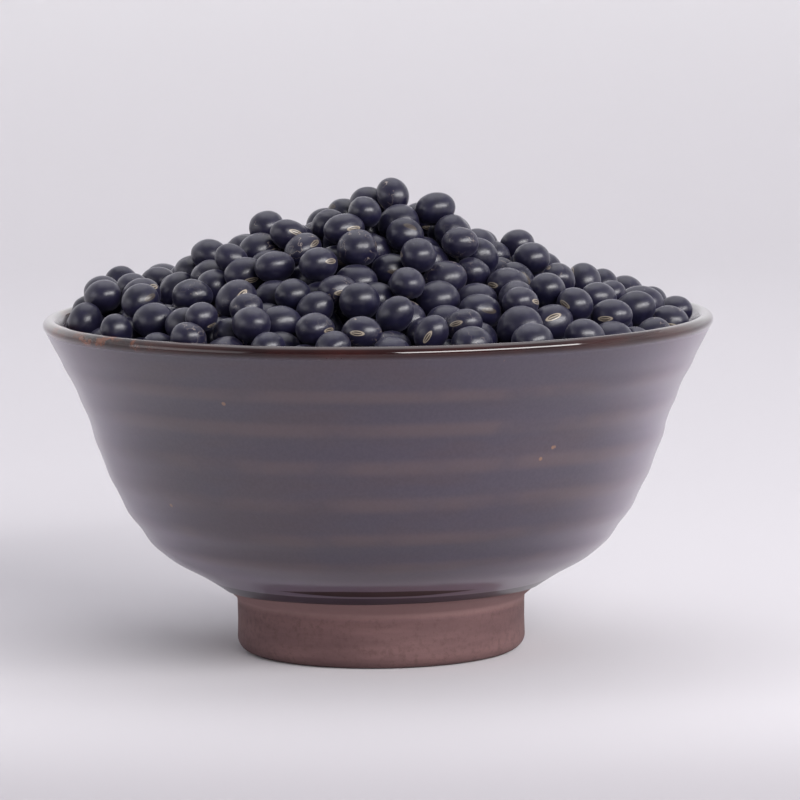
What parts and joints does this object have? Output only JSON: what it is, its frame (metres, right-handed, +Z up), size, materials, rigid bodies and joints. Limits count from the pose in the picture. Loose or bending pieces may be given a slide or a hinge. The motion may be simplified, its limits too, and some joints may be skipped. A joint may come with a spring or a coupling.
{
  "type": "bowl of dried beans",
  "caption": "Turned footed bowl with a flared rim, throwing ridges and an unglazed foot, heaped above its rim with dried black beans fused into one heap.",
  "frame": {"origin": "on the surface it stands on, at the middle of the bowl's foot", "axes": "+Z up along the bowl's axis, -Y towards the side that the picture shows"},
  "size_m": [0.15, 0.15, 0.1058],
  "materials": {
    "bowl": "semi-gloss mauve grey glaze, with a dark brown lip and an unglazed red-brown foot",
    "beans": "smooth blue-black skin with a dull sheen"
  },
  "bodies": {
    "root": {"bowl": "bowl", "beans": "beans"}
  },
  "joints": []
}
